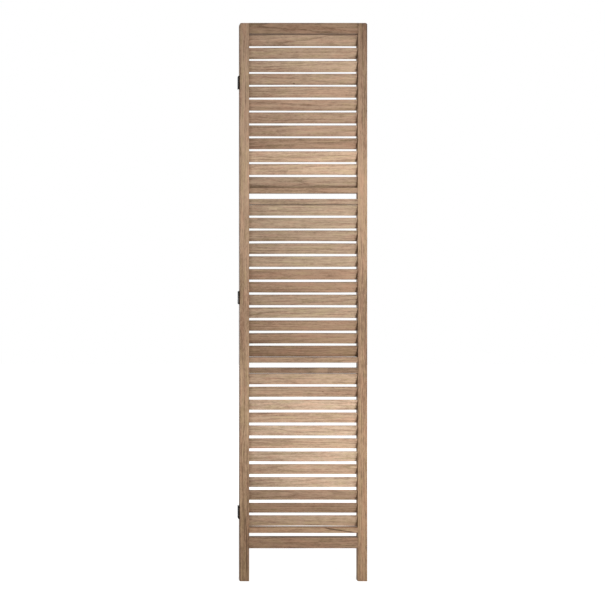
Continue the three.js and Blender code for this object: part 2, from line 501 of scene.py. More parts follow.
@dataclass(frozen=True)
class Vein:
    """A dark line in the grain, in the board's own millimetres: from start to end along it,
    at a height across it, climbing by a slope."""

    start: float
    end: float
    across: float
    slope: float = 0.0
    width: float = 1.2
    depth: float = 0.30


@dataclass(frozen=True)
class Patch:
    """A let-in piece or a stave end of another shade, in the board's own millimetres."""

    along: float
    across: float
    half_length: float
    half_width: float
    shade: float


@dataclass(frozen=True)
class Knot:
    """A small dark knot that the grain flows round, in the board's own millimetres."""

    along: float
    across: float
    radius: float = 1.6


@dataclass(frozen=True)
class Look:
    """What sets one board apart: its stain, its cut and its marks.

    drift gives the shade at even steps from the low end of the board to its high end, and
    slant how much it changes across.
    """

    tone: Tone
    cut: Cut = Cut.STRAIGHT
    drift: Numbers = (0.0, 0.0)
    slant: float = 0.0
    veins: tuple[Vein, ...] = ()
    patches: tuple[Patch, ...] = ()
    knots: tuple[Knot, ...] = ()


@dataclass(frozen=True)
class Bed:
    """Where a board's own axes lie: its centre, the turn that lays its length along X, its
    thickness along Y and its width along Z, and half its length and width in millimetres."""

    centre: Vector
    turn: Numbers
    half_length: float
    half_width: float


@dataclass(frozen=True)
class Spot:
    """The place being shaded, and its lengths along, behind and across the board, in the
    board's own millimetres, with the nodes that it is shaded by."""

    desk: NodeDesk
    place: object
    along: object
    behind: object
    across: object


@dataclass(frozen=True)
class StainedWood:
    """The weathered brown stain over open-grained boards, drawn anew for each board.

    ring, in millimetres, is the width of a year's growth. The end and edge darkenings are how much darker the
    board's ends and long edges are, and the reaches, in millimetres, how far in: painted shade at the ends
    and on the arrises, partly stain.
    contrast is how strong the figure is, and warmth how much yellower the low end is than the
    high end. The log's heart leans as drawn in a board of half the length lean_span. A vein
    fades in and out over a share of its length. A knot is drawn out along the grain,
    pushes it aside within its reach, and is dark within its rim, both in its own radii.
    """

    look: Look
    bed: Bed
    draw: int
    ring: float = 7.5
    end_stain_and_shade: float = 0.06
    edge_stain_and_shade: float = 0.07
    contrast: float = 1.0
    warmth: float = 0.0
    line_depth: float = -0.22
    end_reach: float = 14
    edge_reach: float = 3
    lean_span: float = 170
    vein_fade: float = 0.18
    patch_edge: float = 0.8
    knot_stretch: float = 0.45
    knot_reach: float = 6.0
    knot_push: float = 5.0
    knot_rim: float = 1.5
    knot_shade: float = -0.55

    def heart(self) -> tuple[Numbers, Numbers]:
        """Draws where the log's heart runs beside this board.

        Returns:
            Its place across and behind the board's middle in millimetres, and how much each
            of the two changes for each millimetre along.
        """
        rng = random.Random(self.draw)
        place = tuple(rng.choice((-1, 1)) * far * rng.uniform(0.8, 1.3) for far in self.look.cut.value)
        reach = self.lean_span / self.bed.half_length
        lean = (rng.uniform(-0.02, 0.02) * reach, rng.choice((-1, 1)) * rng.uniform(0.03, 0.06) * reach)
        return place, lean

    def noise(self, spot: Spot, layer: Layer) -> object:
        """Reads one of the wood's noises, far from where any other board reads it.

        Args:
            spot: the place being shaded.
            layer: which noise.

        Returns:
            Its socket.
        """
        rng = random.Random(self.draw * 31 + layer.number)
        far = tuple(rng.uniform(-400, 400) for _ in range(3))
        return spot.desk.noise(spot.place, layer.spans, far, layer.detail)

    def wave(self, spot: Spot, layer: Layer) -> object:
        """One of the wood's noises about zero, at its depth."""
        return spot.desk.scaled(self.noise(spot, layer), 0.5, layer.depth)

    def growth(self, spot: Spot) -> tuple[object, object]:
        """Draws the growth rings that the board's faces cut through.

        Args:
            spot: the place being shaded.

        Returns:
            The darkness of the ring lines, and the open band beside each where the pores lie.
        """
        desk = spot.desk
        heart, lean = self.heart()
        waves = [self.wave(spot, layer) for layer in (Layer.WANDER, Layer.RIPPLE)]
        knots = [self.closeness(spot, knot, self.knot_reach) for knot in self.look.knots]
        bulges = [desk.product(close, self.knot_push) for close in knots]
        shift = desk.total(*waves, *bulges)
        beside = desk.total(spot.across, shift, -heart[0], desk.product(spot.along, -lean[0]))
        beneath = desk.total(spot.behind, -heart[1], desk.product(spot.along, -lean[1]))
        rings = desk.math("DIVIDE", desk.distance(beside, beneath), self.ring)
        phase = desk.math("FRACT", rings)
        year = desk.total(desk.math("FLOOR", rings), float(self.draw))
        vigour = desk.node("ShaderNodeTexWhiteNoise", {"W": year}, noise_dimensions="1D").outputs["Value"]
        stops = [(0.0, 0.25), (0.05, 1.0), (0.22, 0.5), (0.55, 0.14), (0.92, 0.0), (1.0, 0.25)]
        line = desk.ramp(phase, [(position, (level,) * 3) for position, level in stops])
        strength = desk.math("MULTIPLY_ADD", vigour, 0.75, 0.25)
        return desk.product(line, strength), desk.fade(phase, 0.5, 0.0)

    def closeness(self, spot: Spot, knot: Knot, reach: float) -> object:
        """How near the surface is to a knot.

        Args:
            spot: the place being shaded.
            knot: the knot.
            reach: how far it is felt, in its own radii.

        Returns:
            The socket of a value from 0 at that reach to 1 at the knot's middle.
        """
        aside = spot.desk.scaled(spot.along, knot.along, self.knot_stretch)
        above = spot.desk.math("SUBTRACT", spot.across, knot.across)
        return spot.desk.fade(spot.desk.distance(aside, above), knot.radius * reach, 0.0)

    def marks(self, spot: Spot) -> list[object]:
        """Draws the board's own veins, patches and knots.

        Args:
            spot: the place being shaded.

        Returns:
            What each adds to the board's shade.
        """
        desk = spot.desk
        wobble = self.wave(spot, Layer.CLOUD)
        shades = []
        for vein in self.look.veins:
            fall = desk.product(desk.scaled(spot.along, vein.start, vein.slope), -1.0)
            height = desk.total(spot.across, -vein.across, fall, wobble)
            line = desk.fade(desk.off(height, 0.0), vein.width, 0.0)
            fade = self.vein_fade * (vein.end - vein.start)
            came = desk.fade(spot.along, vein.start, vein.start + fade)
            left = desk.fade(spot.along, vein.end, vein.end - fade)
            shades.append(desk.product(line, came, left, -vein.depth))
        for patch in self.look.patches:
            sides = (
                (spot.along, patch.along, patch.half_length),
                (spot.across, patch.across, patch.half_width),
            )
            inside = [
                desk.fade(desk.off(value, middle), half + self.patch_edge, half - self.patch_edge)
                for value, middle, half in sides
            ]
            shades.append(desk.product(*inside, patch.shade))
        for knot in self.look.knots:
            shades.append(desk.product(self.closeness(spot, knot, self.knot_rim), self.knot_shade))
        return shades

    def along_shade(self, spot: Spot) -> object:
        """The slow change of shade along the board, and its darker ends: painted shade at the ends, partly
        stain.

        Args:
            spot: the place being shaded.

        Returns:
            Its socket.
        """
        desk = spot.desk
        half = self.bed.half_length
        steps = len(self.look.drift) - 1
        stops = [(i / steps, (0.5 + level,) * 3) for i, level in enumerate(self.look.drift)]
        drift = desk.scaled(desk.ramp(desk.fade(spot.along, -half, half), stops), 0.5, 1.0)
        # darker ends: painted shade, partly stain
        ends = desk.fade(desk.off(spot.along, 0.0), half - self.end_reach, half, 0.0, -self.end_stain_and_shade)
        return desk.total(drift, ends)

    def edge_shade(self, spot: Spot) -> object:
        """The darker long edges, painted shade on the arrises partly with stain, and the change of shade
        between them.

        Args:
            spot: the place being shaded.

        Returns:
            Its socket.
        """
        desk = spot.desk
        half = self.bed.half_width
        # darker long edges: painted shade on the arrises, partly stain
        edges = desk.fade(desk.off(spot.across, 0.0), half - self.edge_reach, half, 0.0, -self.edge_stain_and_shade)
        return desk.total(edges, desk.product(spot.across, self.look.slant / half))

    def palette(self) -> list[tuple[float, Numbers]]:
        """The board's colours.

        Returns:
            Stops from its darkest pores to its palest flecks.
        """
        tone = linear(self.look.tone.value)
        depths = {0.0: (0.26, 0.22, 0.19), 0.3: (0.64, 0.60, 0.57), 0.5: (1, 1, 1), 0.8: (1.34, 1.36, 1.38)}
        return [(position, tuple(t * d for t, d in zip(tone, depth))) for position, depth in depths.items()]

    def tints(self, spot: Spot, colour: object) -> object:
        """Turns the colour redder in places and greener in others, and yellower to the low end.

        Args:
            spot: the place being shaded.
            colour: the board's colour there.

        Returns:
            Its socket.
        """
        desk = spot.desk
        blush = self.noise(spot, Layer.BLUSH)
        colour = desk.tinted(colour, (1.03, 0.965, 0.955), desk.fade(blush, 0.48, 0.66))
        colour = desk.tinted(colour, (0.97, 1.0, 0.92), desk.fade(blush, 0.50, 0.34))
        if not self.warmth:
            return colour
        half = self.bed.half_length
        return desk.tinted(colour, (1.0, 0.97, 0.87), desk.fade(spot.along, half, -half, 0.0, self.warmth))

    def material(self, name: str) -> bpy.types.Material:
        """Makes the finish for one board.

        Args:
            name: the material's name.

        Returns:
            The material, whose pattern lies along the board at its own place.
        """
        desk = NodeDesk(bpy.data.materials.new(name))
        point = desk.node("ShaderNodeTexCoord", {}).outputs["Object"]
        feeds = {"Vector": point, "Location": self.bed.centre, "Rotation": self.bed.turn, "Scale": (MM,) * 3}
        place = desk.node("ShaderNodeMapping", feeds, vector_type="TEXTURE").outputs[0]
        spot = Spot(desk, place, *desk.node("ShaderNodeSeparateXYZ", {0: place}).outputs)
        line, band = self.growth(spot)
        fibre = self.noise(spot, Layer.FIBRE)
        pore = desk.fade(self.noise(spot, Layer.PORE), 0.60, 0.70)
        pores = desk.product(pore, desk.math("MULTIPLY_ADD", band, 0.8, 0.2))
        figure = desk.total(
            desk.product(line, self.line_depth),
            desk.product(pores, Layer.PORE.depth),
            desk.scaled(fibre, 0.5, Layer.FIBRE.depth),
            *(self.wave(spot, layer) for layer in (Layer.FLECK, Layer.STREAK, Layer.MOTTLE)),
        )
        stains = (self.edge_shade(spot), self.along_shade(spot), *self.marks(spot))
        shade = desk.total(0.5, desk.product(figure, self.contrast), *stains)
        height = desk.total(desk.product(fibre, 0.45), desk.product(line, -0.35), desk.product(pores, -0.8))
        return desk.dress({
            "Base Color": self.tints(spot, desk.ramp(shade, self.palette())),
            "Roughness": desk.fade(fibre, 0.25, 0.75, 0.74, 0.60),
            "Specular IOR Level": 0.3,
            "Normal": desk.relief(height, 0.25 * MM, 0.5),
        })


# ---- blackened steel


@dataclass(frozen=True)
class BlackSteel:
    """The brown-black finish of the hinges: mottled, and rubbed a little brighter in places."""

    name: str
    colour: Numbers
    rubbed: Numbers
    roughness: float

    def material(self) -> bpy.types.Material:
        """Makes the finish.

        Returns:
            Its material.
        """
        desk = NodeDesk(bpy.data.materials.new(self.name))
        point = desk.node("ShaderNodeTexCoord", {}).outputs["Object"]
        place = desk.node("ShaderNodeMapping", {"Vector": point, "Scale": (1 / MM,) * 3}).outputs[0]
        mottle = desk.noise(place, (3.5, 3.5, 3.5), (11.0, 5.0, 2.0), 4.0)
        scuff = desk.noise(place, (1.2, 1.2, 9.0), (3.0, 7.0, 1.0), 3.0)
        wear = desk.product(desk.fade(scuff, 0.56, 0.78), desk.fade(mottle, 0.40, 0.62))
        rough = desk.total(self.roughness, desk.scaled(mottle, 0.5, 0.3), desk.product(wear, -0.08))
        return desk.dress({
            "Base Color": desk.ramp(wear, [(0.0, linear(self.colour)), (1.0, linear(self.rubbed))]),
            "Metallic": 0.6,
            "Specular IOR Level": 0.22,
            "Roughness": rough,
            "Normal": desk.relief(mottle, 0.06 * MM, 0.4),
        })


# ---- the frame's own sizes


@dataclass(frozen=True)
class PanelSizes:
    """The panel's main places, read off the frame."""

    half_width: float
    inner: float
    height: float
    half_thickness: float
    tenon_end: float

    @classmethod
    def from_frame(cls) -> PanelSizes:
        """Reads them off the right stile and the top rail."""
        low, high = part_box("stile_right")
        return cls(high.x, low.x, high.z, high.y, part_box("rail_top")[1].x)


class Side(Enum):
    """A side of the panel, as the sign of X there."""

    LEFT = -1
    RIGHT = 1


def nodes_named(start: str) -> list[str]:
    """The frame's nodes whose names start this way, in order."""
    return sorted(name for name in frame["nodes"] if name.startswith(start))


# ---- stiles and rails


@dataclass(frozen=True)
class Joinery:
    """The sizes that the rails' tenons and their mortises share."""

    thickness: float = 8 * MM
    shoulder: float = 3 * MM
    slack: float = 0.3 * MM


@dataclass
class Stile:
    """One upright of the frame, which runs down past the bottom rail as a leg.

    The cutters of its mortises and bores start a little outside it.
    """

    side: Side
    sizes: PanelSizes
    joinery: Joinery
    screw_holes: list[tuple[Vector, Vector]] = field(default_factory=list)
    top_corner: float = 6 * MM
    foot_corner: float = 1.5 * MM
    arris: float = 1.3 * MM
    mortise_start: float = 5 * MM
    bore_radius: float = 2.3 * MM
    bore_start: float = 1 * MM
    bore_depth: float = 10 * MM
    screw_hole_radius: float = 1.6 * MM

    @property
    def name(self) -> str:
        """The stile's node."""
        return f"stile_{self.side.name.lower()}"

    def blank(self) -> Shape:
        """Planes the upright: its rounded corners, then its eased arrises.

        Returns:
            The board, still without joints.
        """
        low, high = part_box(self.name)
        board = start_block(f"{self.name}_board", low, high)
        outer = self.side.value * self.sizes.half_width
        half = self.sizes.half_thickness
        round_edges(
            board, lambda *ends: all(near(p.x, outer) and near(p.z, high.z) for p in ends), self.top_corner, 8
        )
        round_edges(board, lambda a, b: near(a.z, 0) and along_axis(a, b, 1), self.foot_corner, 6)
        round_edges(board, lambda a, b: near(abs(a.y), half) and near(a.y, b.y), self.arris, 3)
        return board

    def mortise(self, rail: str) -> Shape:
        """Makes the cutter of a rail's mortise in this stile.

        Args:
            rail: the rail's node.

        Returns:
            The block that is taken out.
        """
        low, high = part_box(rail)
        slack = self.joinery.slack
        reach = (self.sizes.inner - self.mortise_start, self.sizes.tenon_end + slack)
        near_x, far_x = sorted(self.side.value * far for far in reach)
        half = self.joinery.thickness / 2 + slack
        rise = self.joinery.shoulder - slack
        start = Vector((near_x, -half, low.z + rise))
        return start_block("mortise", start, Vector((far_x, half, high.z - rise)))

    def bore(self, slat: str) -> Shape:
        """Makes the cutter of the round hole that a slat's pin turns in.

        Args:
            slat: the slat's node.

        Returns:
            The rod that is taken out.
        """
        height = middle_of(slat).z
        reach = (self.sizes.inner - self.bore_start, self.sizes.inner + self.bore_depth)
        mouth, floor = (Vector((self.side.value * far, 0, height)) for far in reach)
        return start_rod("bore", self.bore_radius, mouth, floor, 20)

    def build(self, wood: StainedWood) -> None:
        """Makes the stile, cuts its joints and dresses it.

        Args:
            wood: its finish.
        """
        board = self.blank()
        cutters = [self.mortise(rail) for rail in nodes_named("rail_")]
        cutters += [self.bore(slat) for slat in nodes_named("slat_")]
        cutters += [start_rod("hole", self.screw_hole_radius, *ends, 16) for ends in self.screw_holes]
        combine(board, join_all(cutters[0], cutters[1:]), "DIFFERENCE")
        hand_over(board, self.name, wood.material(f"{self.name}_stain"))


@dataclass
class Rail:
    """One cross rail, with a tenon at each end."""

    name: str
    sizes: PanelSizes
    joinery: Joinery
    seam: float = 0.12 * MM
    arris: float = 0.7 * MM
    tenon_chamfer: float = 1 * MM

    def build(self, wood: StainedWood) -> None:
        """Makes the rail from a planed board, draws its tenons out and dresses it.

        Args:
            wood: its finish.
        """
        low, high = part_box(self.name)
        half_length = self.sizes.inner - self.seam
        half = self.sizes.half_thickness
        height = high.z - low.z
        board = start_block(
            f"{self.name}_board", Vector((-half_length, -half, low.z)), Vector((half_length, half, high.z))
        )
        round_edges(board, lambda a, b: along_axis(a, b, 0), self.arris, 3)
        tenon = (1.0, self.joinery.thickness / (2 * half), (height - 2 * self.joinery.shoulder) / height)
        tip = self.sizes.tenon_end
        with shaping(board, Pick.FACES, lambda middle, normal: abs(normal.x) > 0.9):
            draw_out()
            scale_about(middle_of(self.name), tenon)
            bpy.ops.mesh.extrude_region_shrink_fatten(TRANSFORM_OT_shrink_fatten={"value": tip - half_length})
        round_edges(board, lambda a, b: near(abs(a.x), tip) and near(a.x, b.x), self.tenon_chamfer, 1)
        hand_over(board, self.name, wood.material(f"{self.name}_stain"))


# ---- slats


@dataclass(frozen=True)
class SlatLook(Look):
    """What sets one slat apart, with how its board has bent.

    crook, bow and hollow are in millimetres at the middle of its length: crook lifts it
    within its own plane, bow pushes it out of that plane, and hollow narrows its lower edge.
    spare is how much wider than the others it was left, in millimetres.
    """

    # the default drift is painted shading: each slat darker towards its left end and lighter to the right, as
    # the light falls from the right
    drift: Numbers = (-0.05, 0.0, 0.01, 0.01)
    crook: float = 0.0
    bow: float = 0.0
    hollow: float = 0.0
    spare: float = 0.0


@dataclass
class SlatSet:
    """All the slats: one is made with its pins, and the others are copied from it and bent."""

    sizes: PanelSizes
    side_gap: float = 0.5 * MM
    width: float = 34 * MM
    thickness: float = 5 * MM
    arris: float = 0.4 * MM
    end_arris: float = 0.35 * MM
    tilt: float = math.radians(22)
    pin_radius: float = 2 * MM
    pin_tip: float = 0.5 * MM
    pin_root: float = 6 * MM
    stations: int = 15

    @property
    def half_length(self) -> float:
        """Half the length of a slat's board, without its pins."""
        return self.sizes.inner - self.side_gap

    def pin(self, side: Side) -> Shape:
        """Turns the round pin at one end, with an eased tip.

        Args:
            side: which end.

        Returns:
            The pin, with its root inside the slat.
        """
        tip = side.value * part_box("slat_top_01")[1].x
        root = side.value * (self.half_length - self.pin_root)
        pin = start_rod("pin", self.pin_radius, Vector((root, 0, 0)), Vector((tip, 0, 0)), 24)
        round_edges(pin, lambda a, b: near(a.x, tip) and near(b.x, tip), self.pin_tip, 2)
        return pin

    def blank(self) -> Shape:
        """Makes the slat that the others are copied from, upright about the X axis.

        Returns:
            The slat, with its length in short stretches so that it can bend.
        """
        half = Vector((self.half_length, self.thickness / 2, self.width / 2))
        board = start_block("slat_blank", -half, half)
        round_edges(board, lambda a, b: along_axis(a, b, 0), self.arris, 3)
        round_edges(board, lambda a, b: near(abs(a.x), half.x) and near(a.x, b.x), self.end_arris, 1)
        with shaping(board, Pick.EDGES, lambda a, b: along_axis(a, b, 0) and (b - a).length > half.x):
            bpy.ops.mesh.subdivide(number_cuts=self.stations)
        for side in Side:
            combine(board, self.pin(side), "UNION")
        return board

    def flex(self, slat: Shape, look: SlatLook) -> None:
        """Widens and bends a slat: its middle moves most, and its ends stay.

        Args:
            slat: the slat, upright about the X axis.
            look: how it is bent.
        """
        bend = {
            "use_proportional_edit": True,
            "proportional_edit_falloff": "INVERSE_SQUARE",
            "proportional_size": self.half_length,
        }
        middle = self.half_length / (self.stations + 1)
        if look.spare:
            with shaping(slat, Pick.POINTS, lambda place: abs(place.z) > self.width / 4):
                scale_about((0, 0, 0), (1, 1, 1 + look.spare * MM / self.width))
        with shaping(slat, Pick.POINTS, lambda place: abs(place.x) < middle):
            bpy.ops.transform.translate(value=(0, look.bow * MM, look.crook * MM), **bend)
            if look.hollow:
                scale_about((0, 0, self.width / 2), (1, 1, 1 - look.hollow * MM / self.width), **bend)

    def bed(self, axis: Vector) -> Bed:
        """Where the axes of a slat lie whose pins turn about this point."""
        return Bed(axis, (self.tilt, 0, 0), self.half_length / MM, self.width / 2 / MM)

    def build(self, looks: dict[str, tuple[SlatLook, ...]]) -> None:
        """Makes every slat of every bay.

        Args:
            looks: for each bay, its slats' looks from the top down.
        """
        blank = self.blank()
        draw = 100
        for bay, row in looks.items():
            for number, look in enumerate(row, 1):
                node = f"slat_{bay}_{number:02d}"
                axis = Vector((0, 0, middle_of(node).z))
                slat = copy_of(blank, f"{node}_board")
                self.flex(slat, look)
                slat.rotation_euler = (self.tilt, 0, 0)
                slat.location = axis
                settle(slat)
                draw += 1
                # the slats' darker ends are painted shade where they meet the stiles, partly stain; their
                # edges darken a little, painted shade partly with stain
                wood = StainedWood(look, self.bed(axis), draw, end_stain_and_shade=0.12, edge_stain_and_shade=0.03)
                hand_over(slat, node, wood.material(f"{node}_stain"))
        bpy.data.objects.remove(blank)


# ---- hinges


@dataclass
class Screw:
    """A small countersunk wood screw with a cross recess, drawn about its own head."""

    head_radius: float = 2.5 * MM
    head_depth: float = 1.2 * MM
    shank_radius: float = 1.3 * MM
    length: float = 12 * MM
    point: float = 3 * MM
    bluntness: float = 0.08
    recess_width: float = 0.55 * MM
    recess_length: float = 2.9 * MM
    recess_depth: float = 0.8 * MM

    def blank(self) -> Shape:
        """Makes the screw that the others are copied from.

        Returns:
            The screw, its head at the origin and its point towards +X.
        """
        neck = Vector((self.head_depth, 0, 0))
        shoulder = Vector((self.length - self.point, 0, 0))
        screw = start_rod("screw_blank", self.shank_radius, neck, shoulder, 24)
        with shaping(screw, Pick.FACES, lambda middle, normal: normal.x < -0.9):
            draw_out((-self.head_depth, 0, 0))
            grow = self.head_radius / self.shank_radius
            scale_about((0, 0, 0), (1, grow, grow))
        with shaping(screw, Pick.FACES, lambda middle, normal: normal.x > 0.9):
            draw_out((self.point, 0, 0))
            scale_about((self.length, 0, 0), (1, self.bluntness, self.bluntness))
        reach = Vector((self.recess_depth, self.recess_width / 2, self.recess_length / 2))
        slot, across = (start_block("recess", -half, half) for half in (reach, reach.xzy))
        combine(slot, across, "UNION")
        combine(screw, slot, "DIFFERENCE")
        return screw


@dataclass
class ButtHinge:
    """A small butt hinge: two rolled leaves on a capped pin, drawn about the barrel's axis."""

    height: float = 40 * MM
    knuckles: int = 5
    knuckle_gap: float = 0.4 * MM
    barrel: float = 2.3 * MM
    sheet: float = 1 * MM
    reach: float = 16.5 * MM
    plate_start: float = 2.6 * MM
    corner: float = 2.2 * MM
    ease: float = 0.12 * MM
    ease_angle: float = math.radians(50)
    roll: float = math.radians(296)
    roll_steps: int = 28
    pin_radius: float = 1.15 * MM
    cap_radius: float = 2 * MM
    cap_height: float = 1 * MM
    screw_inset: float = 10 * MM
    screw_spacing: float = 24 * MM
    fit: float = 0.3 * MM
    screw: Screw = field(default_factory=Screw)

    def spans(self, first: int) -> list[tuple[float, float]]:
        """The heights between which one leaf's knuckles lie.

        Args:
            first: the lowest of its knuckles, counted from 0.

        Returns:
            Each knuckle's low and high end, from the lowest knuckle up.
        """
        pitch = self.height / self.knuckles
        lows = [i * pitch - self.height / 2 for i in range(first, self.knuckles, 2)]
        return [(low + self.knuckle_gap / 2, low + pitch - self.knuckle_gap / 2) for low in lows]

    def countersink(self, place: Vector, side: int) -> Shape:
        """Makes the cutter of a screw hole.

        Args:
            place: the hole's middle on the plate's inner face.
            side: 1 or -1, the way along X that the hole runs.

        Returns:
            The cutter, flared on the plate's inner face and narrow beyond it.
        """
        narrow = self.screw.shank_radius + self.fit
        ends = (place + Vector((side * depth, 0, 0)) for depth in (self.screw.head_depth, 3 * self.sheet))
        hole = start_rod("hole", narrow, *ends, 32)
        with shaping(hole, Pick.FACES, lambda middle, normal: normal.x * side < -0.9):
            draw_out((-side * self.screw.head_depth, 0, 0))
            grow = (self.screw.head_radius + self.fit) / narrow
            scale_about(place, (1, grow, grow))
            draw_out((-side * self.fit, 0, 0))
        return hole

    def leaf(self, side: int, first: int) -> Shape:
        """Rolls one leaf from its plate.

        Args:
            side: 1 for the leaf that lies on the stile, -1 for the other.
            first: the lowest of its knuckles, counted from 0.

        Returns:
            The leaf about the barrel's axis, its plate towards +Y.
        """
        faces = sorted((side * self.barrel, side * (self.barrel - self.sheet)))
        half = self.height / 2
        spans = self.spans(first)
        low = Vector((faces[0], self.plate_start, -half))
        leaf = start_block("leaf", low, Vector((faces[1], self.reach, half)))
        round_edges(leaf, lambda a, b: near(a.y, self.reach) and along_axis(a, b, 0), self.corner, 6)
        for height in sorted(edge for span in spans for edge in span if abs(edge) < half - MM):
            with shaping(leaf, Pick.FACES, lambda middle, normal: True):
                bpy.ops.mesh.bisect(plane_co=(0, 0, height), plane_no=(0, 0, 1))
        with shaping(leaf, Pick.FACES, lambda at, way: way.y < -0.9 and any(a < at.z < b for a, b in spans)):
            draw_out((0, -self.plate_start, 0))
            bpy.ops.mesh.spin(steps=self.roll_steps, angle=self.roll, center=(0, 0, 0), axis=(0, 0, side))
        with shaping(leaf, Pick.FACES, lambda middle, normal: True):
            bpy.ops.mesh.remove_doubles(threshold=0.001 * MM)
            bpy.ops.mesh.normals_make_consistent(inside=False)
        for way in (-1, 1):
            spot = Vector((side * (self.barrel - self.sheet), self.screw_inset, way * self.screw_spacing / 2))
            combine(leaf, self.countersink(spot, side), "DIFFERENCE")
        modify(leaf, "BEVEL", width=self.ease, segments=2, limit_method="ANGLE", angle_limit=self.ease_angle)
        return leaf

    def pin(self) -> Shape:
        """Turns the hinge pin, with a low domed cap over each end of the barrel.

        Returns:
            The pin, along the barrel's axis.
        """
        half = self.height / 2
        pin = start_rod("pin", self.pin_radius, Vector((0, 0, -half)), Vector((0, 0, half)), 32)
        for way in (-1, 1):
            grow = self.cap_radius / self.pin_radius
            with shaping(pin, Pick.FACES, lambda middle, normal: near(middle.z, way * half)):
                draw_out()
                scale_about((0, 0, way * half), (grow, grow, 1))
                draw_out((0, 0, way * self.cap_height))
            tip = way * (half + self.cap_height)
            round_edges(pin, lambda a, b: near(a.z, tip) and near(b.z, tip), 0.7 * self.cap_height, 5)
        return pin

    def screws(self, name: str) -> dict[str, tuple[Vector, Vector]]:
        """Where each of a hinge's screws starts and ends in the stile.

        Args:
            name: the hinge's name in the frame.

        Returns:
            Both places, by the screw's node.
        """
        ends = {}
        for where in ("upper", "lower"):
            node = f"hinge_{name}_screw_{where}"
            start, end = (middle_of(node) for _ in range(2))
            start.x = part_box(node)[0].x
            end.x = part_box(node)[1].x + self.fit
            ends[node] = (start, end)
        return ends

    def put(self, blank: Shape, node: str, place: Vector, steel: bpy.types.Material) -> None:
        """Puts a copy of a piece in its place, and hands it over.

        Args:
            blank: the piece, about the origin.
            node: the node that the copy stands for.
            place: where it goes.
            steel: its finish.
        """
        piece = copy_of(blank, f"{node}_steel")
        piece.location = place
        settle(piece)
        hand_over(piece, node, steel)

    def build(self, names: tuple[str, ...]) -> None:
        """Makes the hinges of these names, each from copies of one set of pieces.

        Args:
            names: the hinges' names in the frame.
        """
        black = BlackSteel("hinge_black", (7, 5, 4), (34, 28, 23), 0.56).material()
        dark = BlackSteel("screw_black", (13, 10, 8), (52, 44, 37), 0.46).material()
        steel = {"fixed_leaf": self.leaf(1, 0), "free_leaf": self.leaf(-1, 1), "pin": self.pin()}
        screw = self.screw.blank()
        for name in names:
            for part, blank in steel.items():
                node = f"hinge_{name}_{part}"
                self.put(blank, node, middle_of(f"hinge_{name}_pin"), black)
            for node, (seat, _) in self.screws(name).items():
                self.put(screw, node, seat, dark)
        for blank in (*steel.values(), screw):
            bpy.data.objects.remove(blank)


# ---- how each board looks


STILE_LOOKS = {
    Side.LEFT: Look(Tone.HAZEL, Cut.STRAIGHT, (-0.13, 0.04, -0.10, -0.02, 0.15, 0.08), -0.02, (
        Vein(-860, -655, -6.5, 0.006, 2.2, 0.34),
        Vein(-560, 240, 3.0, -0.004, 1.4, 0.12),
        Vein(120, 600, -2.5, 0.004, 1.8, 0.16),
    )),
    Side.RIGHT: Look(Tone.BARK, Cut.STRAIGHT, (0.06, 0.0, -0.16, 0.0, 0.20, -0.06), 0.03, (
        Vein(-840, -300, 2.0, 0.004, 1.6, 0.16),
        Vein(300, 760, -8.0, 0.006, 2.0, 0.14),
    )),
}

RAIL_LOOKS = {
    "rail_top": Look(Tone.BARK, Cut.ARCHED),
    "rail_below_top_bay": Look(Tone.BARK, Cut.SLANTED),
    "rail_above_middle_bay": Look(Tone.DRAB, Cut.SLANTED, veins=(Vein(-150, 165, -2.0, 0.012, 1.3, 0.22),)),
    "rail_below_middle_bay": Look(Tone.BARK),
    "rail_above_bottom_bay": Look(Tone.PEAT, patches=(
        Patch(-20, 3.5, 50, 7.0, -0.10),
        Patch(55, -1.0, 20, 9.5, 0.12),
        Patch(123, 3.5, 47, 7.0, -0.08),
    )),
    "rail_below_bottom_bay": Look(Tone.TAN, Cut.ARCHED, veins=(Vein(60, 168, 7.5, -0.15, 3.0, 0.75),)),
    "rail_bottom": Look(Tone.UMBER),
}

